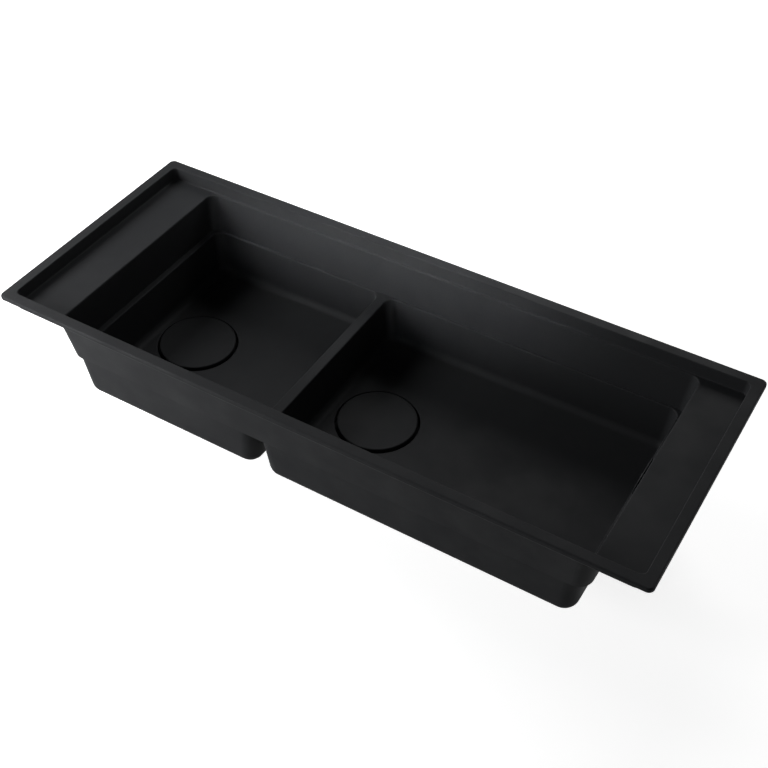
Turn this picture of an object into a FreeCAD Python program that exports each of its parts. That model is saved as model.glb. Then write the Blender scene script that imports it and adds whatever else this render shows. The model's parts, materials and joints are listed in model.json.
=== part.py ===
import FreeCAD, Part
import math
import os

# Inset double bowl kitchen sink, moulded in one piece, with its wastes and fixings.
# Millimetres. X runs along the sink, Y to the back, Z up.
# The origin is at the middle of the worktop cut-out, in the plane of the flange's underside.

V = FreeCAD.Vector
UP = V(0, 0, 1)

# ---- driving dimensions: the moulding ----
sink_length = 1200.0       # along X, over the flange
sink_depth = 480.0         # along Y, over the flange
flange_thick = 8.0
flange_corner = 10.0       # plan radius of the flange's corners
flange_round = 3.0         # rounding of the flange's upper edge
flange_break = 0.8         # rounding of the flange's lower edge
overhang = 12.0            # flange beyond the tub, which rests on the worktop
rim_width = 20.0           # flat rim round the recess
recess_corner = 10.0
recess_foot = 2.0          # hollow rounding where the recess wall meets the shelf
rim_lip = 1.5              # rounding of the rim's inner edge
shelf_drop = 24.0          # rim down to the shelves
left_shelf = 92.0          # shelf between the rim and the small bowl
right_shelf = 78.0         # shelf between the rim and the large bowl
side_shelf = 5.0           # rim to bowl mouth, front and back
mouth_lip = 2.5            # rounding of the bowl mouth
wall = 8.0
floor_thick = 9.0

ledge_drop = 97.0          # rim down to the accessory ledge and the divider's top
end_ledge = 11.0           # ledge width at the two ends
side_ledge = 4.0           # ledge width at front and back
ledge_lip = 2.5
bowl_drop = 183.0          # rim down to the bowl floors
bowl_corner = 18.0         # upright inner corners of the bowls
bowl_foot = 14.0           # inner rounding between walls and floor
divider_x = -92.0          # middle of the divider
divider_width = 20.0       # at its top
tub_foot = 8.0             # rounding under the shelves, along the tub's outside

recess_lean = 0.08         # wall slopes: run per rise
end_lean = 0.10            # the bowls' end walls and the divider
upper_side_lean = 0.15     # front and back walls above the ledge
lower_side_lean = 0.08     # front and back walls below the ledge

# ---- driving dimensions: wastes ----
small_waste_in = 90.1      # small bowl's end wall, at the floor, to its waste
large_waste_in = 94.4      # divider, at the floor, to the large bowl's waste
waste_y = -10.0
pan_drop = 17.0            # bowl floor down to the seat of the waste flange
pan_lip = 1.5              # rounding of the pan's upper edge
cover_r = 71.0             # the loose cover over each waste
cover_gap = 4.0            # gap round the cover, where the water goes in
cover_thick = 10.0
cover_proud = 4.0          # cover's top above the bowl floor
cover_round = 2.5
pad_count = 4
pad_r = 4.5
pad_gap = 2.75             # dish flange to the pads
pad_taper = 0.8
pad_sunk = 3.0             # how deep a pad sits in its socket
waste_hole_r = 45.0
seal_thick = 1.5           # gasket under the steel flange
seal_margin = 2.0          # how far the gaskets stay inside what clamps them
steel = 1.0                # sheet thickness of the strainer parts
dish_land = 11.5           # width of the dish's flange beyond the hole
dish_r = 42.5              # outside of the strainer dish
dish_drop = 38.0           # seat down to the underside of the dish
dish_round = 5.0
slot_count = 6
slot_r = 5.0
slot_ring = 15.5
screw_r = 3.0              # M6
screw_head_r = 5.5
screw_head = 2.2
screw_length = 20.0
stopper_r = 25.0
stopper_thick = 5.0
stopper_land = 3.5         # width of the stopper's sealing ring
stopper_arch = 3.0         # hollow under the stopper, over the screw head
basket_gap = 1.5           # basket rim to dish
basket_top_drop = 5.0      # dish flange down to the basket's rim
basket_taper = 5.0
basket_holes = ((12, 18.0), (18, 26.0))    # number of holes, radius of their ring
basket_hole_r = 2.2
stud_r = 2.0
knob_r = 8.0
knob_neck_r = 3.5
knob_height = 26.0
knob_head = 8.0
body_seal_thick = 4.0
body_land = 10.0           # width of the body's flange beyond the hole
body_flange_thick = 4.0
body_wall = 3.0
body_gap = 2.0             # dish to waste body, all round
body_room = 16.0           # dish underside down to the body's floor
hub_r = 6.5
hub_gap = 3.0              # dish underside to hub
spoke_count = 3
spoke_width = 4.0
spoke_height = 8.0
outlet_r = 23.9            # outside of a G 1 1/2 outlet
outlet_bore_r = 20.0
outlet_length = 32.0
inlet_r = 11.0             # side spigot for the overflow hose
inlet_bore_r = 8.5
inlet_length = 24.0
inlet_collar_r = 13.5      # shoulder that stops the hose
inlet_collar = 2.0         # how far the shoulder stands out from the cup
inlet_drop = 21.0          # body flange down to the middle of the inlet

# ---- driving dimensions: overflow, in the large bowl's end wall ----
overflow_drop = 60.0       # rim down to the middle of the overflow
overflow_slot = (52.0, 14.0)
overflow_plate = (78.0, 28.0)
overflow_plate_thick = 1.5
overflow_plate_lip = 0.6
overflow_stand = 4.0       # plate held off the wall, where the water goes in
overflow_box = (74.0, 30.0)
overflow_box_deep = 24.0
overflow_box_wall = 2.5
overflow_seal_thick = 3.0
overflow_seal_width = 5.0
overflow_post_r = 4.5
overflow_spigot_r = 10.0
overflow_spigot_bore = 7.5
overflow_spigot_length = 26.0
overflow_screw_r = 2.5     # M5
overflow_screw_length = 22.0
overflow_head_r = 4.75
overflow_head = 2.0

# ---- driving dimensions: rim seal and fixings ----
tape_width = 8.0
tape_thick = 2.0
tape_inset = 2.0           # flange edge to tape
clip_x = 22.0              # tub wall in to the bolts
clip_y = 150.0             # middle of the sink out to the bolts
boss_r = 11.0
boss_height = 16.0
insert_r = 6.0
insert_length = 12.0
bolt_r = 3.0               # M6
bolt_play = 0.05           # running clearance round the bolts
bolt_hold = 7.0            # how far a bolt stands in its insert as delivered
bolt_travel = 8.0          # how far it can still be screwed in
bolt_end_gap = 1.0         # what is left above the bolt when it is fully in
bolt_head_r = 5.0
bolt_head = 4.0
clip_drop = 13.0           # boss down to the clip's plate
clip_width = 22.0
clip_reach = 52.0          # bolt to the outside of the nose
clip_thick = 3.0
clip_rise = 9.0            # height of the nose above the clip's plate
clip_bend = 4.0
clip_play = 0.2            # clip to bolt head

# ---- levels and places worked out from them ----
rim_z = flange_thick
shelf_z = rim_z - shelf_drop
ledge_z = rim_z - ledge_drop
floor_z = rim_z - bowl_drop
under_z = floor_z - floor_thick
pan_z = floor_z - pan_drop
boss_z = pan_z - floor_thick
half_length = sink_length / 2
half_depth = sink_depth / 2
mouth_left = -half_length + rim_width + left_shelf
mouth_right = half_length - rim_width - right_shelf
mouth_side = half_depth - rim_width - side_shelf
shelf_under_z = shelf_z - wall
pan_r = cover_r + cover_gap
floor_in = end_lean * (bowl_drop - shelf_drop)
small_waste_x = mouth_left + end_ledge + floor_in + small_waste_in
large_waste_x = divider_x + divider_width / 2 + end_lean * (bowl_drop - ledge_drop) + large_waste_in
wastes = (("small", small_waste_x), ("large", large_waste_x))
dish_flange_r = waste_hole_r + dish_land
body_flange_r = waste_hole_r + body_land
dish_seat_z = pan_z + seal_thick
dish_low_z = pan_z - dish_drop
dish_floor_z = dish_low_z + steel
stopper_top_z = dish_floor_z + stopper_thick
basket_rim_z = dish_seat_z - basket_top_drop
basket_rim_r = dish_r - steel - basket_gap
body_top_z = boss_z - body_seal_thick
body_bore_r = dish_r + body_gap
body_floor_z = dish_low_z - body_room
outlet_z = body_floor_z - body_wall
pad_ring = dish_flange_r + pad_gap + pad_r
insert_low_z = shelf_under_z - boss_height
bolt_top_z = insert_low_z + bolt_hold
clip_top_z = insert_low_z - clip_drop
clip_low_z = clip_top_z - clip_thick


def save(shape, node):
    shape.exportStep("parts/" + node + ".step")
    print(node, len(shape.Solids), "solid(s)", round(shape.Volume), "mm3", shape.isValid())


# ---- shared shapes ----

def rect_corners(x, y, z):
    return [V(x[0], y[0], z), V(x[1], y[0], z), V(x[1], y[1], z), V(x[0], y[1], z)]


def edges_where(shape, test):
    return [edge for edge in shape.Edges if test(edge)]


def flat_at(z):
    """Test for edges that lie in the level z."""
    return lambda edge: max(abs(v.Point.z - z) for v in edge.Vertexes) < 0.01


def upright(edge):
    ends = [v.Point.z for v in edge.Vertexes]
    return len(ends) == 2 and abs(ends[0] - ends[1]) > 1.0


def tapered_box(x, y, z_top, z_low, lean, corner, foot=0.0):
    """A box that narrows downwards, with rounded upright corners and a rounded foot."""
    dx, dy = lean[0] * (z_top - z_low), lean[1] * (z_top - z_low)
    top = rect_corners(x, y, z_top)
    low = rect_corners((x[0] + dx, x[1] - dx), (y[0] + dy, y[1] - dy), z_low)
    sides = [[top[i - 1], low[i - 1], low[i], top[i]] for i in range(4)]
    faces = [Part.Face(Part.makePolygon(c + [c[0]])) for c in [top, low[::-1]] + sides]
    solid = Part.Solid(Part.Shell(faces))
    solid = solid.makeFillet(corner, edges_where(solid, upright))
    if foot:
        solid = solid.makeFillet(foot, edges_where(solid, flat_at(z_low)))
    return solid


def disc(x, y, z, r, height):
    return Part.makeCylinder(r, height, V(x, y, z))


def ring(x, y, z, r_out, r_in, height):
    return disc(x, y, z, r_out, height).cut(disc(x, y, z, r_in, height))


def turned(profile, x, y):
    """A solid of revolution about the upright axis through x, y, from radius and height pairs."""
    points = [V(x + r, y, z) for r, z in profile]
    face = Part.Face(Part.makePolygon(points + [points[0]]))
    return face.revolve(V(x, y, 0), UP, 360)


def round_circle(shape, r, z, radius):
    """Round the full circles of radius r that lie in the level z."""
    def wanted(edge):
        return hasattr(edge.Curve, "Radius") and abs(edge.Curve.Radius - r) < 0.01 and flat_at(z)(edge)
    return shape.makeFillet(radius, edges_where(shape, wanted))


def around(count, r, x, y):
    """Places on a circle about x, y."""
    turns = [2 * math.pi * i / count for i in range(count)]
    return [(x + r * math.cos(t), y + r * math.sin(t)) for t in turns]


def oblong(size, x_from, x_to):
    """A plate with half-round ends, standing in the YZ plane, centred on the X axis."""
    half, r = size[0] / 2 - size[1] / 2, size[1] / 2
    a, b, c, d = V(x_from, -half, -r), V(x_from, half, -r), V(x_from, half, r), V(x_from, -half, r)
    edges = [Part.makeLine(a, b), Part.Arc(b, V(x_from, half + r, 0), c).toShape(),
             Part.makeLine(c, d), Part.Arc(d, V(x_from, -half - r, 0), a).toShape()]
    return Part.Face(Part.Wire(edges)).extrude(V(x_to - x_from, 0, 0))


def grown(size, by):
    return size[0] + 2 * by, size[1] + 2 * by


# ---- the moulding ----

def upper_extent(z, outside=0.0):
    """The bowl space above the divider, at level z, grown by the wall for its outside."""
    end_in = end_lean * (shelf_z - z)
    side = mouth_side - upper_side_lean * (shelf_z - z) + outside
    return (mouth_left + end_in - outside, mouth_right - end_in + outside), (-side, side)


def lower_extents(outside=0.0):
    """The X ranges of the two bowl spaces below the divider's top, at the level of the ledge."""
    x = upper_extent(ledge_z)[0]
    left, right = x[0] + end_ledge, x[1] - end_ledge
    middle = (divider_x - divider_width / 2, divider_x + divider_width / 2)
    return (left - outside, middle[0] + outside), (middle[1] - outside, right + outside)


def flange():
    x, y = (-half_length, half_length), (-half_depth, half_depth)
    plate = tapered_box(x, y, rim_z, 0, (0, 0), flange_corner)
    plate = plate.makeFillet(flange_round, edges_where(plate, flat_at(rim_z)))
    return plate.makeFillet(flange_break, edges_where(plate, flat_at(0)))


def bowl_shells():
    """The outside of the bowls: one body above the step, two below it, flush at front and back."""
    step_z = ledge_z - wall
    corner = bowl_corner + wall
    lean = (end_lean, upper_side_lean)
    shells = [tapered_box(*upper_extent(shelf_z, wall), shelf_z, step_z, lean, corner)]
    side = upper_extent(step_z, wall)[1][1] + lower_side_lean * wall
    lean = (end_lean, lower_side_lean)
    for x in lower_extents(wall):
        shells.append(tapered_box(x, (-side, side), ledge_z, under_z, lean, corner, bowl_foot + wall))
    return shells


def outer_body():
    """Everything solid, before the recess, bowls and holes are taken out."""
    x, y = half_length - overhang, half_depth - overhang
    lean = (recess_lean, recess_lean)
    corner = recess_corner + wall
    tub = tapered_box((-x, x), (-y, y), flange_thick / 2, shelf_under_z, lean, corner, tub_foot)
    added = [tub] + bowl_shells()
    for _, x in wastes:
        added.append(disc(x, waste_y, boss_z, pan_r + wall, under_z - boss_z + floor_thick / 2))
    for x, y in clip_places():
        added.append(disc(x, y, insert_low_z, boss_r, boss_height + wall / 2))
    return flange().fuse(added)


def recess_space():
    x, y = half_length - rim_width, half_depth - rim_width
    lean = (recess_lean, recess_lean)
    return tapered_box((-x, x), (-y, y), rim_z, shelf_z, lean, recess_corner, recess_foot)


def bowl_spaces():
    """The hollow above the ledge, and one below it for each bowl."""
    start = shelf_z + recess_foot
    spaces = [tapered_box(*upper_extent(start), start, ledge_z, (end_lean, upper_side_lean), bowl_corner)]
    side = upper_extent(ledge_z)[1][1] - side_ledge
    for x in lower_extents():
        lean = (end_lean, lower_side_lean)
        spaces.append(tapered_box(x, (-side, side), ledge_z, floor_z, lean, bowl_corner, bowl_foot))
    return spaces


def waste_space(x):
    """The pan that the cover sits in, and the hole for the waste."""
    pan = disc(x, waste_y, pan_z, pan_r, floor_z - pan_z)
    return pan.fuse(disc(x, waste_y, boss_z, waste_hole_r, pan_z - boss_z))


def bolt_space(x, y):
    """The hole in a boss: wide for the insert, narrow above it for the bolt's end."""
    wide = disc(x, y, insert_low_z, insert_r, insert_length)
    deep = bolt_hold + bolt_travel + bolt_end_gap
    return wide.fuse(disc(x, y, insert_low_z, bolt_r + bolt_play, deep))


def lip_edges(shape, z, inside):
    """Edges at level z whose ends all lie within the given half sizes."""
    def wanted(edge):
        if not flat_at(z)(edge):
            return False
        return all(abs(v.Point.x) < inside[0] and abs(v.Point.y) < inside[1] for v in edge.Vertexes)
    return edges_where(shape, wanted)


def sink_basin():
    body = outer_body()
    holes = [recess_space()] + bowl_spaces() + [waste_space(x) for _, x in wastes]
    holes += [bolt_space(x, y) for x, y in clip_places()]
    holes.append(on_end_wall(oblong(overflow_slot, -wall, 2 * wall)))
    body = body.cut(holes).removeSplitter()
    inside_rim = (half_length - rim_width / 2, half_depth - rim_width / 2)
    body = body.makeFillet(rim_lip, lip_edges(body, rim_z, inside_rim))
    body = body.makeFillet(mouth_lip, mouth_edges(body))
    body = body.makeFillet(ledge_lip, ledge_edges(body))
    return round_circle(body, pan_r, floor_z, pan_lip)


def mouth_edges(body):
    """The edges where the bowls' walls meet the shelves."""
    def on_mouth(p):
        side = abs(p.y) < mouth_side + side_shelf / 2
        return side and mouth_left - side_shelf / 2 < p.x < mouth_right + side_shelf / 2
    def wanted(edge):
        return flat_at(shelf_z)(edge) and all(on_mouth(v.Point) for v in edge.Vertexes)
    return edges_where(body, wanted)


def ledge_edges(body):
    """The upper edges of the two lower hollows, on the ledge and along both sides of the divider."""
    side = upper_extent(ledge_z)[1][1] - side_ledge / 2
    x = upper_extent(ledge_z)[0]
    limit = (x[0] + end_ledge / 2, x[1] - end_ledge / 2)
    def wanted(edge):
        ends = [v.Point for v in edge.Vertexes]
        return flat_at(ledge_z)(edge) and all(abs(p.y) < side and limit[0] < p.x < limit[1] for p in ends)
    return edges_where(body, wanted)


# ---- wastes ----

def drain_cover(x):
    """A plain disc of the sink's material, loose in its pan, with sockets for its pads."""
    top = floor_z + cover_proud
    cover = disc(x, waste_y, top - cover_thick, cover_r, cover_thick)
    cover = round_circle(cover, cover_r, top, cover_round)
    sockets = [disc(px, py, top - cover_thick, pad_r, pad_sunk) for px, py in pad_places(x)]
    return cover.cut(sockets)


def pad_places(x):
    return around(pad_count, pad_ring, x, waste_y)


def cover_pads(x):
    socket_z = floor_z + cover_proud - cover_thick
    foot_r = pad_r - pad_taper
    top = socket_z + pad_sunk
    profile = [(0, pan_z), (foot_r, pan_z), (pad_r, socket_z), (pad_r, top), (0, top)]
    return Part.Compound([turned(profile, px, py) for px, py in pad_places(x)])


def waste_flange(x):
    """The pressed steel dish that is clamped in the hole and holds the strainer basket."""
    top = dish_seat_z + steel
    inner = dish_r - steel
    profile = [(dish_flange_r, dish_seat_z), (dish_flange_r, top), (inner, top),
               (inner, dish_floor_z + dish_round), (inner - dish_round, dish_floor_z),
               (screw_r, dish_floor_z), (screw_r, dish_low_z), (dish_r - dish_round, dish_low_z),
               (dish_r, dish_low_z + dish_round), (dish_r, dish_seat_z)]
    dish = turned(profile, x, waste_y)
    places = around(slot_count, slot_ring, x, waste_y)
    return dish.cut([disc(slot_x, slot_y, dish_low_z, slot_r, steel) for slot_x, slot_y in places])


def centre_screw(x):
    head = disc(x, waste_y, dish_floor_z, screw_head_r, screw_head)
    head = round_circle(head, screw_head_r, dish_floor_z + screw_head, screw_head / 2)
    shank = disc(x, waste_y, dish_floor_z - screw_length, screw_r, screw_length)
    return head.fuse(shank).removeSplitter()


def basket_seal(x):
    """The rubber stopper under the basket, which closes the dish when the basket is down."""
    arch_r = stopper_r - stopper_land
    arch_z = dish_floor_z + stopper_arch
    profile = [(0, arch_z), (arch_r, arch_z), (arch_r, dish_floor_z), (stopper_r, dish_floor_z),
               (stopper_r, stopper_top_z), (0, stopper_top_z)]
    stud_hole = disc(x, waste_y, stopper_top_z - stud_length(), stud_r, stud_length())
    return turned(profile, x, waste_y).cut(stud_hole)


def stud_length():
    return (stopper_thick - stopper_arch) / 2


def strainer_basket(x):
    low_r = basket_rim_r - basket_taper
    floor_top = stopper_top_z + steel
    profile = [(stud_r, stopper_top_z), (low_r, stopper_top_z), (basket_rim_r, basket_rim_z),
               (basket_rim_r - steel, basket_rim_z), (low_r - steel, floor_top), (stud_r, floor_top)]
    basket = turned(profile, x, waste_y)
    holes = []
    for count, r in basket_holes:
        for hole_x, hole_y in around(count, r, x, waste_y):
            holes.append(disc(hole_x, hole_y, stopper_top_z, basket_hole_r, steel))
    return basket.cut(holes)


def basket_knob(x):
    """The lifting knob, with a stud through the basket into the stopper."""
    base = stopper_top_z + steel
    top = base + knob_height
    under = top - knob_head
    stud_z = stopper_top_z - stud_length()
    profile = [(0, stud_z), (stud_r, stud_z), (stud_r, base), (knob_neck_r, base), (knob_neck_r, under),
               (knob_r, under + knob_neck_r / 2), (knob_r, top), (0, top)]
    return round_circle(turned(profile, x, waste_y), knob_r, top, knob_head / 4)


def flange_seal(x):
    return ring(x, waste_y, pan_z, dish_flange_r - seal_margin, waste_hole_r + seal_margin, seal_thick)


def body_seal(x):
    inner_r = waste_hole_r + seal_margin
    return ring(x, waste_y, body_top_z, body_flange_r - seal_margin, inner_r, body_seal_thick)


def waste_body(x, with_inlet):
    """The plastic cup under the sink, with its threaded outlet and the bridge for the centre screw."""
    flange_low = body_top_z - body_flange_thick
    cup_r = body_bore_r + body_wall
    outlet_low = outlet_z - outlet_length
    profile = [(body_flange_r, flange_low), (body_flange_r, body_top_z), (body_bore_r, body_top_z),
               (body_bore_r, body_floor_z), (outlet_bore_r, body_floor_z), (outlet_bore_r, outlet_low),
               (outlet_r, outlet_low), (outlet_r, outlet_z), (cup_r, outlet_z), (cup_r, flange_low)]
    cup = turned(profile, x, waste_y)
    hub_top = dish_low_z - hub_gap
    hub = disc(x, waste_y, body_floor_z, hub_r, hub_top - body_floor_z)
    added = [hub]
    for i in range(spoke_count):
        spoke = Part.makeBox(body_bore_r + body_wall / 2, spoke_width, spoke_height,
                             V(x, waste_y - spoke_width / 2, body_floor_z))
        spoke.rotate(V(x, waste_y, 0), UP, 60 + 360 * i / spoke_count)
        added.append(spoke)
    taken = [disc(x, waste_y, body_floor_z, screw_r, hub_top - body_floor_z)]
    if with_inlet:
        z = body_top_z - inlet_drop
        root = body_bore_r + body_wall / 4
        shoulder = cup_r + inlet_collar
        reach = shoulder + inlet_length
        start = V(x + root, waste_y, z)
        added.append(Part.makeCylinder(inlet_collar_r, shoulder - root, start, V(1, 0, 0)))
        added.append(Part.makeCylinder(inlet_r, reach - root, start, V(1, 0, 0)))
        taken.append(Part.makeCylinder(inlet_bore_r, reach, V(x + hub_r * 2, waste_y, z), V(1, 0, 0)))
    return cup.fuse(added).cut(taken).removeSplitter()


# ---- overflow ----

def on_end_wall(shape):
    """Carry a shape modelled at the origin to the overflow's place on the leaning end wall."""
    z = rim_z - overflow_drop
    placed = shape.copy()
    placed.rotate(V(0, 0, 0), V(0, 1, 0), math.degrees(math.atan(end_lean)))
    placed.translate(V(upper_extent(z)[0][1], 0, z))
    return placed


def overflow_cover():
    """A flat steel plate that stands off the wall, so that the water runs in behind its edge."""
    back, front = -overflow_stand, -overflow_stand - overflow_plate_thick
    plate = oblong(overflow_plate, front, back)
    face_edges = edges_where(plate, lambda e: all(abs(v.Point.x - front) < 0.01 for v in e.Vertexes))
    plate = plate.makeFillet(overflow_plate_lip, face_edges)
    hole = Part.makeCylinder(overflow_screw_r, overflow_plate_thick, V(front, 0, 0), V(1, 0, 0))
    return on_end_wall(plate.cut(hole))


def overflow_screw():
    start = V(-overflow_stand - overflow_plate_thick, 0, 0)
    shank = Part.makeCylinder(overflow_screw_r, overflow_screw_length, start, V(1, 0, 0))
    head = Part.makeCylinder(overflow_head_r, overflow_head, start, V(-1, 0, 0))
    face_x = start.x - overflow_head
    rim = edges_where(head, lambda e: all(abs(v.Point.x - face_x) < 0.01 for v in e.Vertexes))
    return on_end_wall(head.makeFillet(overflow_head / 2, rim).fuse(shank).removeSplitter())


def overflow_seal():
    outer = oblong(overflow_box, wall, wall + overflow_seal_thick)
    inner = oblong(grown(overflow_box, -overflow_seal_width), wall, wall + overflow_seal_thick)
    return on_end_wall(outer.cut(inner))


def overflow_elbow():
    """The box behind the wall, with a post for the screw and a spigot for the hose."""
    front = wall + overflow_seal_thick
    back = front + overflow_box_deep
    box = oblong(overflow_box, front, back)
    room = oblong(grown(overflow_box, -overflow_box_wall), front, back - overflow_box_wall)
    post = Part.makeCylinder(overflow_post_r, back + overflow_stand, V(-overflow_stand, 0, 0), V(1, 0, 0))
    spigot_x = back - overflow_box_wall / 2 - overflow_spigot_r
    low = -overflow_box[1] / 2 - overflow_spigot_length
    spigot = disc(spigot_x, 0, low, overflow_spigot_r, -overflow_box[1] / 2 + overflow_box_wall - low)
    bore = disc(spigot_x, 0, low, overflow_spigot_bore, overflow_spigot_length + overflow_box_wall)
    thread = Part.makeCylinder(overflow_screw_r, overflow_screw_length - overflow_plate_thick,
                               V(-overflow_stand, 0, 0), V(1, 0, 0))
    elbow = box.fuse(spigot).cut(room).fuse(post).cut([bore, thread])
    return on_end_wall(elbow.removeSplitter())


# ---- rim seal and fixings ----

def rim_seal():
    """The foam tape under the flange."""
    frames = []
    for inset in (tape_inset, tape_inset + tape_width):
        x, y = half_length - inset, half_depth - inset
        corner = max(flange_corner - inset, 1.0)
        frames.append(tapered_box((-x, x), (-y, y), 0, -tape_thick, (0, 0), corner))
    return frames[0].cut(frames[1])


def clip_places():
    x = half_length - overhang - clip_x
    return [(sx * x, sy * clip_y) for sx in (-1, 1) for sy in (-1, 1)]


def clip_inserts():
    """Brass inserts with an M6 thread, one in each boss."""
    bore_r = bolt_r + bolt_play
    sleeves = [ring(x, y, insert_low_z, insert_r, bore_r, insert_length) for x, y in clip_places()]
    return Part.Compound(sleeves)


def clip_bolt(x, y):
    shank_low = clip_low_z - clip_play
    shank = disc(x, y, shank_low, bolt_r, bolt_top_z - shank_low)
    points = [V(x + px, y + py, shank_low) for px, py in around(6, bolt_head_r, 0, 0)]
    head = Part.Face(Part.makePolygon(points + [points[0]])).extrude(V(0, 0, -bolt_head))
    return shank.fuse(head).removeSplitter()


def fixing_clip(x, y):
    """A bent steel strap with a raised nose. It lies along Y, nose to the middle, until it is swung out."""
    tail = clip_width / 2
    inner_x = clip_reach - clip_thick
    nose_z = clip_top_z + clip_rise
    profile = [V(0, 0, clip_low_z), V(clip_reach, 0, clip_low_z), V(clip_reach, 0, nose_z),
               V(inner_x, 0, nose_z), V(inner_x, 0, clip_top_z), V(0, 0, clip_top_z)]
    strap = Part.Face(Part.makePolygon(profile + [profile[0]])).extrude(V(0, clip_width, 0))
    strap.translate(V(0, -tail, 0))
    def along_width(x, z):
        def wanted(edge):
            return all(abs(v.Point.x - x) < 0.01 and abs(v.Point.z - z) < 0.01 for v in edge.Vertexes)
        return wanted
    strap = strap.makeFillet(clip_bend, edges_where(strap, along_width(clip_reach, clip_low_z)))
    strap = strap.makeFillet(clip_bend - clip_thick, edges_where(strap, along_width(inner_x, clip_top_z)))
    strap = strap.fuse(disc(0, 0, clip_low_z, tail, clip_thick))
    strap = strap.cut(disc(0, 0, clip_low_z, bolt_r + bolt_play, clip_thick)).removeSplitter()
    strap.rotate(V(0, 0, 0), UP, -90 if y > 0 else 90)
    strap.translate(V(x, y, 0))
    return strap


def main():
    os.makedirs("parts", exist_ok=True)
    save(sink_basin(), "sink_basin")
    for name, x in wastes:
        save(drain_cover(x), "drain_cover_" + name)
        save(cover_pads(x), "cover_pads_" + name)
        save(strainer_basket(x), "strainer_basket_" + name)
        save(basket_knob(x), "basket_knob_" + name)
        save(basket_seal(x), "basket_seal_" + name)
        save(waste_flange(x), "waste_flange_" + name)
        save(flange_seal(x), "flange_seal_" + name)
        save(body_seal(x), "body_seal_" + name)
        save(waste_body(x, name == "large"), "waste_body_" + name)
        save(centre_screw(x), "centre_screw_" + name)
    save(overflow_cover(), "overflow_cover")
    save(overflow_screw(), "overflow_screw")
    save(overflow_seal(), "overflow_seal")
    save(overflow_elbow(), "overflow_elbow")
    save(rim_seal(), "rim_seal")
    save(clip_inserts(), "clip_inserts")
    for number, (x, y) in enumerate(clip_places(), 1):
        save(clip_bolt(x, y), "clip_bolt_" + str(number))
        save(fixing_clip(x, y), "fixing_clip_" + str(number))


main()
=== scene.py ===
import json
import math

import bmesh
import bpy
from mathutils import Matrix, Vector


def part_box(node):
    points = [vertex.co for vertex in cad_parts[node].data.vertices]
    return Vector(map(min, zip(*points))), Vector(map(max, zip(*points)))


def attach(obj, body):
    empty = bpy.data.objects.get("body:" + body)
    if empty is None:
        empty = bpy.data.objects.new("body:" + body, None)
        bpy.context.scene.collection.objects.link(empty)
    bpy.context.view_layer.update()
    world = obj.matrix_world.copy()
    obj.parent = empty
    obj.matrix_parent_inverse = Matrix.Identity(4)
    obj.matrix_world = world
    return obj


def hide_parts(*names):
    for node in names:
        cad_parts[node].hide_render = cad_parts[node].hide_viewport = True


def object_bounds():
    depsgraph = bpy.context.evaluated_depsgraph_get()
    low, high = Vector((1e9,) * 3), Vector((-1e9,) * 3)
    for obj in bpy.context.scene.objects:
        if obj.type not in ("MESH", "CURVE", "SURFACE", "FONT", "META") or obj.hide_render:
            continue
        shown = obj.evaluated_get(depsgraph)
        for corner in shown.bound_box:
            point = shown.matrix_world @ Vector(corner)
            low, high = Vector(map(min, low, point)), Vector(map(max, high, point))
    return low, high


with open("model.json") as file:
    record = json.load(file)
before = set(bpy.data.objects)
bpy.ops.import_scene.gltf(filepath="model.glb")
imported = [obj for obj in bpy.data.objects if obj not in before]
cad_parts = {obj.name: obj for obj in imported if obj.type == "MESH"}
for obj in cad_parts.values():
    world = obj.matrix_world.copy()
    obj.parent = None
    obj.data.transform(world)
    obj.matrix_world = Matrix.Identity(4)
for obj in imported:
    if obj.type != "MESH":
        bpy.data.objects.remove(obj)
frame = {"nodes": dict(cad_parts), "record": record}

print("frame loaded,", len(frame["nodes"]), "solids")
cadLow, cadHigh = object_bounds()
nodes = frame["nodes"]


def newGroup(name, inputs, outputs):
    group = bpy.data.node_groups.new(name, "ShaderNodeTree")
    for label, kind, value in inputs:
        socket = group.interface.new_socket(label, in_out="INPUT", socket_type=kind)
        if value is not None:
            socket.default_value = value
    for label, kind in outputs:
        group.interface.new_socket(label, in_out="OUTPUT", socket_type=kind)
    return group, group.nodes.new("NodeGroupInput"), group.nodes.new("NodeGroupOutput")


def addNode(tree, kind, settings=None, **values):
    node = tree.nodes.new(kind)
    for key, value in (settings or {}).items():
        setattr(node, key, value)
    for key, value in values.items():
        node.inputs[key].default_value = value
    return node


def mathNode(tree, operation, first, second=None):
    node = tree.nodes.new("ShaderNodeMath")
    node.operation = operation
    for socket, value in zip(node.inputs, (first, second)):
        if value is None:
            continue
        if isinstance(value, (int, float)):
            socket.default_value = value
        else:
            tree.links.new(value, socket)
    return node.outputs[0]


def floatSockets(*names):
    return [(name, "NodeSocketFloat") for name in names]


# noises of the grain and of its slow clouds; their sizes come in millimetres
grainNoise = {
    "fine": {"Detail": 2.0, "Roughness": 0.6},
    "broad": {"Detail": 3.0, "Roughness": 0.55},
    "perMetre": 1000.0,
}


# fine grain of a filled plastic or a rough surface, and clouds over it: both lie round 0.5
def makeGrainGroup():
    group, inside, outside = newGroup(
        "grain",
        [("Vector", "NodeSocketVector", None), ("Grain Size", "NodeSocketFloat", 0.6),
         ("Mottle Size", "NodeSocketFloat", 40.0)],
        floatSockets("Grain", "Mottle"))
    uses = [("fine", "Grain Size", "Grain"), ("broad", "Mottle Size", "Mottle")]
    for look, size, result in uses:
        noise = addNode(group, "ShaderNodeTexNoise", {"noise_dimensions": "3D"},
                        **grainNoise[look])
        scale = mathNode(group, "DIVIDE", grainNoise["perMetre"], inside.outputs[size])
        group.links.new(inside.outputs["Vector"], noise.inputs["Vector"])
        group.links.new(scale, noise.inputs["Scale"])
        group.links.new(noise.outputs["Fac"], outside.inputs[result])
    return group


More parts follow.
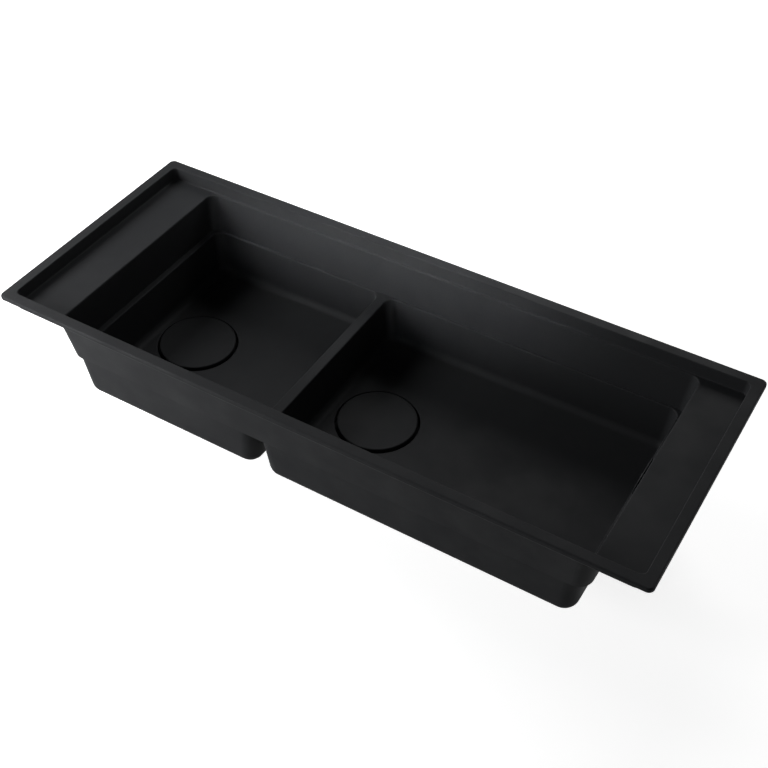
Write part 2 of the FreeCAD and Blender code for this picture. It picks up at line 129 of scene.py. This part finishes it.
# wear and a painted highlight on edges: 1 where the surface turns within the given radius
def makeWearAndHighlightGroup():
    group, inside, outside = newGroup(
        "edgeWearAndHighlight",
        [("Radius", "NodeSocketFloat", 0.001), ("Softness", "NodeSocketFloat", 0.25)],
        floatSockets("Mask"))
    rounded = addNode(group, "ShaderNodeBevel", {"samples": 4})
    group.links.new(inside.outputs["Radius"], rounded.inputs["Radius"])
    flat = group.nodes.new("ShaderNodeNewGeometry")
    dot = addNode(group, "ShaderNodeVectorMath", {"operation": "DOT_PRODUCT"})
    group.links.new(rounded.outputs["Normal"], dot.inputs[0])
    group.links.new(flat.outputs["Normal"], dot.inputs[1])
    turn = mathNode(group, "SUBTRACT", 1.0, dot.outputs["Value"])
    share = mathNode(group, "DIVIDE", turn, inside.outputs["Softness"])
    group.links.new(mathNode(group, "MINIMUM", share, 1.0), outside.inputs["Mask"])
    return group


turning = {
    "noise": {"Detail": 3.0, "Roughness": 0.7},
    "middle": (0.5, 0.5, 0.5),  # of the piece's own box
    "across": (1.0, 1.0, 0.0),  # rings run round the upright axis
    "alongAxis": 0.5,           # how fast the rings change along it
}


# turning or brushing marks: thin rings round the piece's middle, from its own box
def makeTurnedGroup():
    group, inside, outside = newGroup(
        "turnedMarks", [("Fineness", "NodeSocketFloat", 60.0)], floatSockets("Marks"))
    coords = group.nodes.new("ShaderNodeTexCoord")
    centred = addNode(group, "ShaderNodeVectorMath", {"operation": "SUBTRACT"})
    centred.inputs[1].default_value = turning["middle"]
    group.links.new(coords.outputs["Generated"], centred.inputs[0])
    flat = addNode(group, "ShaderNodeVectorMath", {"operation": "MULTIPLY"})
    flat.inputs[1].default_value = turning["across"]
    group.links.new(centred.outputs["Vector"], flat.inputs[0])
    reach = addNode(group, "ShaderNodeVectorMath", {"operation": "LENGTH"})
    group.links.new(flat.outputs["Vector"], reach.inputs[0])
    parts = group.nodes.new("ShaderNodeSeparateXYZ")
    group.links.new(centred.outputs["Vector"], parts.inputs[0])
    rings = group.nodes.new("ShaderNodeCombineXYZ")
    group.links.new(reach.outputs["Value"], rings.inputs["X"])
    along = mathNode(group, "MULTIPLY", parts.outputs["Z"], turning["alongAxis"])
    group.links.new(along, rings.inputs["Y"])
    streaks = addNode(group, "ShaderNodeTexNoise", {"noise_dimensions": "2D"}, **turning["noise"])
    group.links.new(rings.outputs["Vector"], streaks.inputs["Vector"])
    group.links.new(inside.outputs["Fineness"], streaks.inputs["Scale"])
    group.links.new(streaks.outputs["Fac"], outside.inputs["Marks"])
    return group


grainGroup = makeGrainGroup()
wearAndHighlightGroup = makeWearAndHighlightGroup()
turnedGroup = makeTurnedGroup()
print("shader groups made")


def newMaterial(name, **plain):
    material = bpy.data.materials.new(name)
    material.use_nodes = True
    shader = material.node_tree.nodes["Principled BSDF"]
    for key, value in plain.items():
        shader.inputs[key.replace("_", " ")].default_value = value
    return material, material.node_tree, shader


def placeGroup(tree, group, **values):
    node = tree.nodes.new("ShaderNodeGroup")
    node.node_tree = group
    for key, value in values.items():
        node.inputs[key.replace("_", " ")].default_value = value
    return node


def mapValue(tree, source, low, high, fromLow=0.0, fromHigh=1.0):
    node = addNode(tree, "ShaderNodeMapRange",
                   **{"From Min": fromLow, "From Max": fromHigh, "To Min": low, "To Max": high})
    tree.links.new(source, node.inputs["Value"])
    return node.outputs["Result"]


def mixColours(tree, amount, first, second):
    node = addNode(tree, "ShaderNodeMix", {"data_type": "RGBA"})
    slots = [s for s in node.inputs if s.enabled]
    for socket, value in zip(slots, (amount, first, second)):
        if isinstance(value, (int, float, tuple)):
            socket.default_value = value
        else:
            tree.links.new(value, socket)
    return [s for s in node.outputs if s.enabled][0]


def bumpFrom(tree, shader, height, strength, distance):
    node = addNode(tree, "ShaderNodeBump", Strength=strength, Distance=distance)
    tree.links.new(height, node.inputs["Height"])
    tree.links.new(node.outputs["Normal"], shader.inputs["Normal"])


noiseSpan = (0.3, 0.7)          # where nearly all values of a noise lie
noiseCore = (0.35, 0.65)        # the narrower span, for more contrast

composite = {
    "dark": (0.0225, 0.0235, 0.0255, 1.0),      # the resin between the grains
    "light": (0.0335, 0.0345, 0.0365, 1.0),     # quartz grains, coloured through
    "rubbedAndHighlight": (0.038, 0.039, 0.041, 1.0),       # lighter along its edges: wear, and a painted highlight
    "grainSize": 0.55,          # millimetres
    "mottleSize": 70.0,
    "clouds": (0.0, 0.35),      # how much of the grain's light colour the clouds take away
    "roughness": (0.50, 0.64),
    "specular": 0.12,
    "edgeRadius": 0.0012,
    "edgeSoftness": 0.35,
    "edgeWearAndHighlight": (0.1, 0.6),     # wear and painted highlight on edges, least and most, from grain to grain
    "bump": 0.25,
    "bumpDepth": 0.00012,
}


def makeComposite():
    material, tree, shader = newMaterial("composite", Specular_IOR_Level=composite["specular"])
    coords = tree.nodes.new("ShaderNodeTexCoord")
    grain = placeGroup(tree, grainGroup, Grain_Size=composite["grainSize"],
                       Mottle_Size=composite["mottleSize"])
    tree.links.new(coords.outputs["Object"], grain.inputs["Vector"])
    grains = mapValue(tree, grain.outputs["Grain"], 0.0, 1.0, *noiseSpan)
    base = mixColours(tree, grains, composite["dark"], composite["light"])
    clouds = mapValue(tree, grain.outputs["Mottle"], *composite["clouds"], *noiseCore)
    mottled = mixColours(tree, clouds, base, composite["dark"])
    # the edges are drawn lighter: partly wear, partly a painted highlight on the rounded edges
    edge = placeGroup(tree, wearAndHighlightGroup, Radius=composite["edgeRadius"],
                      Softness=composite["edgeSoftness"])
    wearAndHighlightShare = mapValue(tree, grain.outputs["Grain"], *composite["edgeWearAndHighlight"], *noiseCore)
    rubbedAndHighlight = mathNode(tree, "MULTIPLY", edge.outputs["Mask"], wearAndHighlightShare)
    colour = mixColours(tree, rubbedAndHighlight, mottled, composite["rubbedAndHighlight"])
    tree.links.new(colour, shader.inputs["Base Color"])
    rough = mapValue(tree, grain.outputs["Mottle"], *composite["roughness"], *noiseSpan)
    tree.links.new(rough, shader.inputs["Roughness"])
    bumpFrom(tree, shader, grain.outputs["Grain"], composite["bump"], composite["bumpDepth"])
    return material


# metals with turning marks, one for each slot
metals = {
    "stainless": {"name": "stainless", "base": (0.62, 0.61, 0.59, 1.0), "fineness": 90.0,
                  "roughness": (0.22, 0.36)},
    "screw_steel": {"name": "screwSteel", "base": (0.60, 0.60, 0.58, 1.0), "fineness": 30.0,
                    "roughness": (0.25, 0.38)},
    "zinc_steel": {"name": "zincSteel", "base": (0.66, 0.67, 0.69, 1.0), "fineness": 8.0,
                   "roughness": (0.28, 0.45)},
    "brass": {"name": "brass", "base": (0.78, 0.58, 0.26, 1.0), "fineness": 20.0,
              "roughness": (0.25, 0.4)},
}
metalMarks = {"valley": 0.86, "bump": 0.12, "bumpDepth": 0.0001}


def makeMetal(name, base, fineness, roughness):
    material, tree, shader = newMaterial(name, Metallic=1.0)
    marks = placeGroup(tree, turnedGroup, Fineness=fineness).outputs["Marks"]
    dark = tuple(metalMarks["valley"] * part for part in base[:3]) + (1.0,)
    tree.links.new(mixColours(tree, marks, dark, base), shader.inputs["Base Color"])
    tree.links.new(mapValue(tree, marks, *roughness, *noiseSpan), shader.inputs["Roughness"])
    bumpFrom(tree, shader, marks, metalMarks["bump"], metalMarks["bumpDepth"])
    return material


# rubber, foam, plastic and coating: grain sizes in millimetres
grainedFinishes = {
    "rubber": {"name": "rubber", "dark": (0.018, 0.018, 0.018, 1.0),
               "light": (0.032, 0.032, 0.032, 1.0), "grainSize": 0.8,
               "roughness": (0.6, 0.75), "bump": 0.3, "specular": 0.5},
    "foam": {"name": "foam", "dark": (0.040, 0.041, 0.044, 1.0),
             "light": (0.075, 0.076, 0.080, 1.0), "grainSize": 0.5,
             "roughness": (0.85, 0.95), "bump": 0.8, "specular": 0.2},
    "waste_plastic": {"name": "wastePlastic", "dark": (0.72, 0.72, 0.69, 1.0),
                      "light": (0.80, 0.80, 0.78, 1.0), "grainSize": 1.2,
                      "roughness": (0.38, 0.5), "bump": 0.1, "specular": 0.5},
    "dark_cover": {"name": "darkCover", "dark": (0.022, 0.023, 0.025, 1.0),
                   "light": (0.030, 0.031, 0.033, 1.0), "grainSize": 0.5,
                   "roughness": (0.45, 0.55), "bump": 0.1, "specular": 0.2},
}
grained = {"mottlePerGrain": 40, "grainShare": 0.5, "bumpDepth": 0.00015}


def makeGrained(name, dark, light, grainSize, roughness, bump, specular):
    material, tree, shader = newMaterial(name, Specular_IOR_Level=specular)
    coords = tree.nodes.new("ShaderNodeTexCoord")
    grain = placeGroup(tree, grainGroup, Grain_Size=grainSize,
                       Mottle_Size=grainSize * grained["mottlePerGrain"])
    tree.links.new(coords.outputs["Object"], grain.inputs["Vector"])
    share = grained["grainShare"]
    mixed = mathNode(tree, "ADD", mathNode(tree, "MULTIPLY", grain.outputs["Grain"], share),
                     mathNode(tree, "MULTIPLY", grain.outputs["Mottle"], 1.0 - share))
    colour = mixColours(tree, mapValue(tree, mixed, 0.0, 1.0, *noiseCore), dark, light)
    tree.links.new(colour, shader.inputs["Base Color"])
    rough = mapValue(tree, grain.outputs["Mottle"], *roughness, *noiseSpan)
    tree.links.new(rough, shader.inputs["Roughness"])
    bumpFrom(tree, shader, grain.outputs["Grain"], bump, grained["bumpDepth"])
    return material


materials = {"composite": makeComposite()}
for slotName, finish in metals.items():
    materials[slotName] = makeMetal(**finish)
for slotName, finish in grainedFinishes.items():
    materials[slotName] = makeGrained(**finish)
slotOf = {row["node"]: row["material_slot"] for row in frame["record"]["subparts"]}
for name, solid in nodes.items():
    solid.data.materials.clear()
    solid.data.materials.append(materials[slotOf[name]])
print("materials made:", len(materials))


def addPiece(name, mesh, body, slotName):
    piece = bpy.data.objects.new(name, mesh)
    bpy.context.scene.collection.objects.link(piece)
    mesh.materials.clear()
    mesh.materials.append(materials[slotName])
    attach(piece, body)
    return piece


sharpAngles = {"turned": 35.0, "carved": 30.0, "soft": 60.0}      # degrees
weldDistance = 1e-6


def meshFrom(name, points, faces, sharpAngle=sharpAngles["turned"]):
    mesh = bpy.data.meshes.new(name)
    mesh.from_pydata([tuple(point) for point in points], [], faces)
    shape = bmesh.new()
    shape.from_mesh(mesh)
    bmesh.ops.remove_doubles(shape, verts=shape.verts, dist=weldDistance)
    bmesh.ops.recalc_face_normals(shape, faces=shape.faces)
    shape.to_mesh(mesh)
    shape.free()
    smoothShade(mesh, sharpAngle)
    return mesh


def smoothShade(mesh, sharpAngle):
    mesh.polygons.foreach_set("use_smooth", [True] * len(mesh.polygons))
    mesh.set_sharp_from_angle(angle=math.radians(sharpAngle))


# faces between rings of equally many points, closed round each ring
def skinRings(count, rings, wrap=False):
    faces = []
    for row in range(rings if wrap else rings - 1):
        here, there = row * count, (row + 1) % rings * count
        for i in range(count):
            after = (i + 1) % count
            faces.append((here + i, here + after, there + after, there + i))
    return faces


threadForm = {"halfCrest": 0.10, "flank": 0.30}       # shares of the pitch


# radius of a turned thread at a place along it: flat crests and roots, run out at both ends
def threadRadius(thread, turn, along, length):
    turnsIn, turnsLeft = along / thread["pitch"], (length - along) / thread["pitch"]
    fromCrest = abs((turnsIn - turn) % 1.0 - 0.5) - threadForm["halfCrest"]
    flank = min(1.0, max(0.0, fromCrest / threadForm["flank"]))
    runOut = min(1.0, max(0.0, turnsIn), max(0.0, turnsLeft))
    return thread["crest"] - thread["depth"] * flank * runOut


def threadRings(thread, centre, zLow, length):
    rings = max(2, round(length / thread["pitch"] * thread["rowsPerTurn"]))
    points = []
    for row in range(rings + 1):
        along = length * row / rings
        for i in range(thread["sides"]):
            turn = i / thread["sides"]
            r = threadRadius(thread, turn, along, length)
            angle = 2 * math.pi * turn
            x, y = centre.x + r * math.cos(angle), centre.y + r * math.sin(angle)
            points.append((x, y, zLow + along))
    return points, rings + 1


# M6 hexagon bolts of the clips, in metres
bolt = {
    "count": 4,
    "pitch": 0.001,
    "depth": 0.00055,
    "crest": 0.003,
    "rowsPerTurn": 6,
    "sides": 48,
    "head": 0.004,
    "acrossFlats": 0.00866,
    "faceShare": 0.94,          # radius of the head's flat face, of half its width
    "chamfer": 30.0,            # degrees
}


def makeBolt(number):
    node = "clip_bolt_" + str(number)
    low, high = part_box(node)
    centre = (low + high) / 2
    sides = bolt["sides"]
    shankLow = low.z + bolt["head"]
    apothem = bolt["acrossFlats"] / 2
    flat = apothem * bolt["faceShare"]
    slope = math.tan(math.radians(bolt["chamfer"]))
    points = [(centre.x, centre.y, low.z)]
    rows = [[], [], []]
    for i in range(sides):
        angle = 2 * math.pi * i / sides
        fromFlat = (angle % (math.pi / 3)) - math.pi / 6
        reach = apothem / math.cos(fromFlat)
        way = Vector((math.cos(angle), math.sin(angle)))
        chamferTop = low.z + (reach - flat) * slope
        for row, r, z in zip(rows, (flat, reach, reach), (low.z, chamferTop, shankLow)):
            row.append((centre.x + way.x * r, centre.y + way.y * r, z))
    for row in rows:
        points += row
    shank, count = threadRings(bolt, centre, shankLow, high.z - shankLow)
    points += shank + [(centre.x, centre.y, high.z)]
    top = len(points) - 1
    faces = [(i + 1, (i + 1) % sides + 1, 0) for i in range(sides)]
    faces += [tuple(i + 1 for i in face) for face in skinRings(sides, 3 + count)]
    last = top - sides
    faces += [(last + i, last + (i + 1) % sides, top) for i in range(sides)]
    mesh = meshFrom(node, points, faces)
    piece = addPiece("hexBolt" + str(number), mesh, "bolt_" + str(number), "screw_steel")
    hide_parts(node)


for number in range(1, bolt["count"] + 1):
    makeBolt(number)
print("bolts threaded")


# a welded copy of a solid, with a cutter taken out of it
def carvedCopy(name, node, body, slotName, cutter):
    source = nodes[node].data
    points = [vertex.co.copy() for vertex in source.vertices]
    faces = [tuple(face.vertices) for face in source.polygons]
    piece = addPiece(name, meshFrom(name, points, faces), body, slotName)
    tool = bpy.data.objects.new("cutter", cutter)
    bpy.context.scene.collection.objects.link(tool)
    cut = piece.modifiers.new("cut", "BOOLEAN")
    cut.operation = "DIFFERENCE"
    cut.solver = "EXACT"
    cut.object = tool
    bpy.context.view_layer.update()
    shown = piece.evaluated_get(bpy.context.evaluated_depsgraph_get())
    carved = bpy.data.meshes.new_from_object(shown)
    piece.modifiers.clear()
    piece.data = carved
    carved.materials.clear()
    carved.materials.append(materials[slotName])
    smoothShade(carved, sharpAngles["carved"])
    bpy.data.objects.remove(tool)
    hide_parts(node)


# G 1 1/2 thread of the waste outlets
outletThread = {
    "pitch": 0.002309,
    "depth": 0.00135,
    "crest": 0.02387,
    "rowsPerTurn": 6,
    "sides": 72,
    "length": 0.028,
    "runIn": 1.2,               # turns of the cutter below the outlet's end
    "outside": 0.027,           # radius of the cutter
}


def makeOutlet(which):
    node = "waste_body_" + which
    low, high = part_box("body_seal_" + which)
    centre = (low + high) / 2
    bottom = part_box(node)[0].z
    sides = outletThread["sides"]
    runIn = outletThread["pitch"] * outletThread["runIn"]
    inner, count = threadRings(outletThread, centre, bottom - runIn,
                               outletThread["length"] + runIn)
    points = list(inner)
    for end in (count - 1, 0):                  # the cutter's outside, from its top to its bottom
        for i in range(sides):
            x, y, z = inner[end * sides + i]
            way = Vector((x - centre.x, y - centre.y)).normalized() * outletThread["outside"]
            points.append((centre.x + way.x, centre.y + way.y, z))
    cutter = meshFrom("cutter", points, skinRings(sides, count + 2, wrap=True))
    carvedCopy("wasteBody" + which.capitalize(), node, "basin", "waste_plastic", cutter)


for which in ("small", "large"):
    makeOutlet(which)
print("outlets threaded")


# foam tape, pressed on in one run with its ends butted at the back
tape = {
    "width": 0.008,
    "outerCorner": 0.008,
    "innerCorner": 0.001,
    "cornerSteps": 8,
    "swell": 0.00025,           # how far its sides swell
    "edge": 0.00035,            # rounding of its lower edges
    "edgeShare": 0.3,           # how near the rounding's middle lies to the corner
    "buttGap": 0.0006,
}


def tapeLine(reach, corner):
    turns = [(1, 1, 90), (1, -1, 0), (-1, -1, -90), (-1, 1, -180)]
    line = [(Vector((tape["buttGap"] / 2, reach.y)), Vector((0, 1)))]
    for sx, sy, start in turns:
        for step in range(tape["cornerSteps"] + 1):
            angle = math.radians(start - 90 * step / tape["cornerSteps"])
            way = Vector((math.cos(angle), math.sin(angle)))
            middle = Vector((sx * (reach.x - corner), sy * (reach.y - corner)))
            line.append((middle + way * corner, way))
    line.append((Vector((-tape["buttGap"] / 2, reach.y)), Vector((0, 1))))
    return line


def makeTape():
    low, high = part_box("rim_seal")
    reach = Vector((high.x, high.y))
    outer = tapeLine(reach, tape["outerCorner"])
    inner = tapeLine(reach - Vector((tape["width"], tape["width"])), tape["innerCorner"])
    edge, swell = tape["edge"], tape["swell"]
    near = edge * tape["edgeShare"]
    side = [(0.0, high.z), (swell, (low.z + high.z) / 2), (0.0, low.z + edge),
            (-near, low.z + near), (-edge, low.z)]
    points = []
    for (out, way), (into, back) in zip(outer, inner):
        section = [(out + way * push, z) for push, z in side]
        section += [(into - back * push, z) for push, z in reversed(side)]
        points += [(place.x, place.y, z) for place, z in section]
    around = 2 * len(side)
    faces = skinRings(around, len(outer))
    faces += [tuple(range(around)), tuple(range(len(points) - around, len(points)))]
    mesh = meshFrom("rimTape", points, faces, sharpAngles["soft"])
    piece = addPiece("rimTape", mesh, "basin", "foam")
    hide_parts("rim_seal")


makeTape()
print("tape laid")


# beads that hold the hose on its two spigots
spigots = {
    "overflow": {"at": (0.518152, 0.0, -0.09317), "along": (-0.0995, 0.0, -0.995),
                 "radius": 0.010},
    "waste": {"at": (0.092, -0.010, -0.226), "along": (1.0, 0.0, 0.0), "radius": 0.011},
}
bead = {
    "height": 0.0007,
    "width": 0.0026,
    "slope": 0.4,               # where its crown begins, of half its width
    "sunk": 0.0002,             # into the spigot
    "sides": 48,
}


def makeBead(name, at, along, radius):
    way = Vector(along).normalized()
    across = way.orthogonal().normalized()
    over = way.cross(across)
    half, height, sides = bead["width"] / 2, bead["height"], bead["sides"]
    profile = [(-half, -bead["sunk"]), (-half, 0.0), (-half * bead["slope"], height),
               (0.0, height), (half, 0.0), (half, -bead["sunk"])]
    points = []
    for shift, rise in profile:
        for i in range(sides):
            angle = 2 * math.pi * i / sides
            reach = (across * math.cos(angle) + over * math.sin(angle)) * (radius + rise)
            points.append(Vector(at) + way * shift + reach)
    mesh = meshFrom(name + "Bead", points, skinRings(sides, len(profile), wrap=True))
    addPiece(name + "Bead", mesh, "basin", "waste_plastic")


for name, spigot in spigots.items():
    makeBead(name, **spigot)


# cross recess in the head of the overflow's screw
recess = {
    "long": 0.0050,
    "wide": 0.0009,
    "deep": 0.0012,
    "floorShare": 0.8,          # size of its floor, of its mouth
    "overcut": 0.0005,          # how far the cutter stands out of the head
    "wallDraft": 0.10,          # slope of the bowl's end wall
    "faceSlack": 0.00005,       # depth within which a point counts as on the head's face
}


def makeCrossRecess():
    lean = math.atan(recess["wallDraft"])
    way = Vector((-math.cos(lean), 0.0, math.sin(lean)))         # out of the head, into the bowl
    across, upward = Vector((0.0, 1.0, 0.0)), Vector((math.sin(lean), 0.0, math.cos(lean)))
    points = [vertex.co for vertex in nodes["overflow_screw"].data.vertices]
    reach = max(point.dot(way) for point in points)
    face = [point for point in points if point.dot(way) > reach - recess["faceSlack"]]
    middle = sum(face, Vector()) / len(face)
    arms = bmesh.new()
    half, thin = recess["long"] / 2, recess["wide"] / 2
    outline = [(half, -thin), (half, thin), (thin, thin), (thin, half),
               (-thin, half), (-thin, thin), (-half, thin), (-half, -thin),
               (-thin, -thin), (-thin, -half), (thin, -half), (thin, -thin)]
    floor, roof = [], []
    for a, b in outline:
        flat = across * a + upward * b
        inward = flat * recess["floorShare"] - way * recess["deep"]
        floor.append(arms.verts.new(middle + inward))
        roof.append(arms.verts.new(middle + flat + way * recess["overcut"]))
    arms.faces.new(floor)
    arms.faces.new(roof)
    for i in range(len(outline)):
        after = (i + 1) % len(outline)
        arms.faces.new((floor[i], floor[after], roof[after], roof[i]))
    bmesh.ops.recalc_face_normals(arms, faces=arms.faces)
    cutter = bpy.data.meshes.new("cutter")
    arms.to_mesh(cutter)
    arms.free()
    carvedCopy("overflowScrew", "overflow_screw", "basin", "dark_cover", cutter)


makeCrossRecess()
print("spigots and overflow finished")


# a pale round floor under soft lamps, and a world that reflections see as white at its horizon
studio = {
    "floorGap": 0.004,          # floor under the lowest piece
    "floorReach": 9.0,
    "floorSides": 64,
    "floorColour": (0.85, 0.85, 0.85, 1.0),
    "floorBounce": (0.24, 0.24, 0.24, 1.0),     # what the floor throws back at the object
    "floorLift": (0.80, 1.0),   # light added for the camera, so that the floor is white
    "liftReach": (0.8, 2.0),    # where it begins and ends to rise, from the middle
    "floorInGloss": 0.35,       # how much of that reflections see
    "ambient": 0.02,            # the world's light on the object, and its ceiling in reflections
    "horizon": 0.9,             # the world in reflections, low down
    "fadeHeights": (0.15, 0.5), # between which the horizon fades into the ceiling
}


def makeFloor():
    mesh = bpy.data.meshes.new("floor")
    shape = bmesh.new()
    bmesh.ops.create_circle(shape, cap_ends=True, segments=studio["floorSides"],
                            radius=studio["floorReach"])
    shape.to_mesh(mesh)
    shape.free()
    floor = bpy.data.objects.new("floor", mesh)
    floor.location.z = cadLow.z - studio["floorGap"]
    bpy.context.scene.collection.objects.link(floor)
    material = bpy.data.materials.new("floor")
    material.use_nodes = True
    tree = material.node_tree
    tree.nodes.remove(tree.nodes["Principled BSDF"])
    matt = addNode(tree, "ShaderNodeBsdfDiffuse")
    glow = addNode(tree, "ShaderNodeEmission")
    where = tree.nodes.new("ShaderNodeNewGeometry")
    away = addNode(tree, "ShaderNodeVectorMath", {"operation": "LENGTH"})
    tree.links.new(where.outputs["Position"], away.inputs[0])
    lift = mapValue(tree, away.outputs["Value"], *studio["floorLift"], *studio["liftReach"])
    tree.links.new(lift, glow.inputs["Strength"])
    nothing = addNode(tree, "ShaderNodeEmission", Strength=0.0)
    path = tree.nodes.new("ShaderNodeLightPath")
    mirrored = mathNode(tree, "MULTIPLY", path.outputs["Is Glossy Ray"], studio["floorInGloss"])
    seen = mathNode(tree, "MAXIMUM", path.outputs["Is Camera Ray"],
                    mathNode(tree, "MAXIMUM", mirrored, path.outputs["Is Transmission Ray"]))
    shade = mixColours(tree, seen, studio["floorBounce"], studio["floorColour"])
    tree.links.new(shade, matt.inputs["Color"])
    chosen = tree.nodes.new("ShaderNodeMixShader")
    tree.links.new(seen, chosen.inputs[0])
    tree.links.new(nothing.outputs[0], chosen.inputs[1])
    tree.links.new(glow.outputs[0], chosen.inputs[2])
    both = tree.nodes.new("ShaderNodeAddShader")
    tree.links.new(matt.outputs[0], both.inputs[0])
    tree.links.new(chosen.outputs[0], both.inputs[1])
    clear = tree.nodes.new("ShaderNodeBsdfTransparent")          # seen from below, it is not there
    sided = tree.nodes.new("ShaderNodeMixShader")
    tree.links.new(where.outputs["Backfacing"], sided.inputs[0])
    tree.links.new(both.outputs[0], sided.inputs[1])
    tree.links.new(clear.outputs[0], sided.inputs[2])
    tree.links.new(sided.outputs[0], tree.nodes["Material Output"].inputs["Surface"])
    mesh.materials.append(material)


def makeWorld():
    world = bpy.data.worlds.new("studio")
    bpy.context.scene.world = world
    world.use_nodes = True
    tree = world.node_tree
    background = tree.nodes["Background"]
    background.inputs["Color"].default_value = (1.0, 1.0, 1.0, 1.0)
    path = tree.nodes.new("ShaderNodeLightPath")
    coords = tree.nodes.new("ShaderNodeTexCoord")
    parts = tree.nodes.new("ShaderNodeSeparateXYZ")
    tree.links.new(coords.outputs["Generated"], parts.inputs[0])
    height = mapValue(tree, parts.outputs["Z"], studio["horizon"], studio["ambient"],
                      *studio["fadeHeights"])
    glossy = mathNode(tree, "MAXIMUM", path.outputs["Is Glossy Ray"],
                      path.outputs["Is Transmission Ray"])
    reflected = mathNode(tree, "MULTIPLY", glossy, height)
    plain = mathNode(tree, "MAXIMUM", reflected, studio["ambient"])
    strength = mathNode(tree, "MAXIMUM", plain, path.outputs["Is Camera Ray"])
    tree.links.new(strength, background.inputs["Strength"])


# the photo's camera, solved from the rim's four edges
cameraView = {
    "eye": (0.8045, -1.2798, 1.3721),
    "target": (0.0753, -0.0770, 0.0),
    "lens": 57.65,
    "sensor": 36.0,
}


def makeCamera():
    data = bpy.data.cameras.new("camera")
    data.lens = cameraView["lens"]
    data.sensor_width = cameraView["sensor"]
    camera = bpy.data.objects.new("camera", data)
    eye, target = Vector(cameraView["eye"]), Vector(cameraView["target"])
    camera.location = eye
    camera.rotation_mode = "QUATERNION"
    camera.rotation_quaternion = (target - eye).to_track_quat("-Z", "Y")
    bpy.context.scene.collection.objects.link(camera)
    bpy.context.scene.camera = camera


# area lamps: where they stand, what they point at, width and height, watts, degrees
lamps = {
    "key": {"place": (-1.05, -1.05, 0.38), "aim": (-0.45, -0.20, -0.06),
            "size": (0.55, 0.45), "power": 10.8, "spread": 180.0},
    "lowKey": {"place": (-1.00, -0.75, 0.10), "aim": (-0.45, -0.20, -0.06),
               "size": (0.40, 0.30), "power": 3.0, "spread": 180.0},
    "left": {"place": (-1.35, 0.00, 0.85), "aim": (-0.30, 0.00, -0.06),
             "size": (0.70, 0.60), "power": 8.8, "spread": 180.0},
    "back": {"place": (-0.30, 1.60, 1.30), "aim": (0.00, 0.00, 0.00),
             "size": (1.20, 0.80), "power": 12.7, "spread": 180.0},
    "rightFill": {"place": (1.80, 0.90, -0.05), "aim": (0.50, 0.00, -0.10),
                  "size": (0.80, 0.30), "power": 5.0, "spread": 180.0},
    "frontSpot": {"place": (-0.10, -1.25, 1.00), "aim": (-0.12, 0.23, 0.115),
                  "size": (0.60, 0.10), "power": 1.0, "spread": 17.0},
}


def makeLamps():
    for name, lamp in lamps.items():
        data = bpy.data.lights.new(name, "AREA")
        data.shape = "RECTANGLE"
        data.size, data.size_y = lamp["size"]
        data.energy = lamp["power"]
        data.spread = math.radians(lamp["spread"])
        light = bpy.data.objects.new(name, data)
        light.location = lamp["place"]
        light.rotation_mode = "QUATERNION"
        way = Vector(lamp["aim"]) - Vector(lamp["place"])
        light.rotation_quaternion = way.to_track_quat("-Z", "Y")
        bpy.context.scene.collection.objects.link(light)


makeFloor()
makeWorld()
makeCamera()
makeLamps()
bpy.context.scene.view_settings.view_transform = "Standard"
print("studio made")
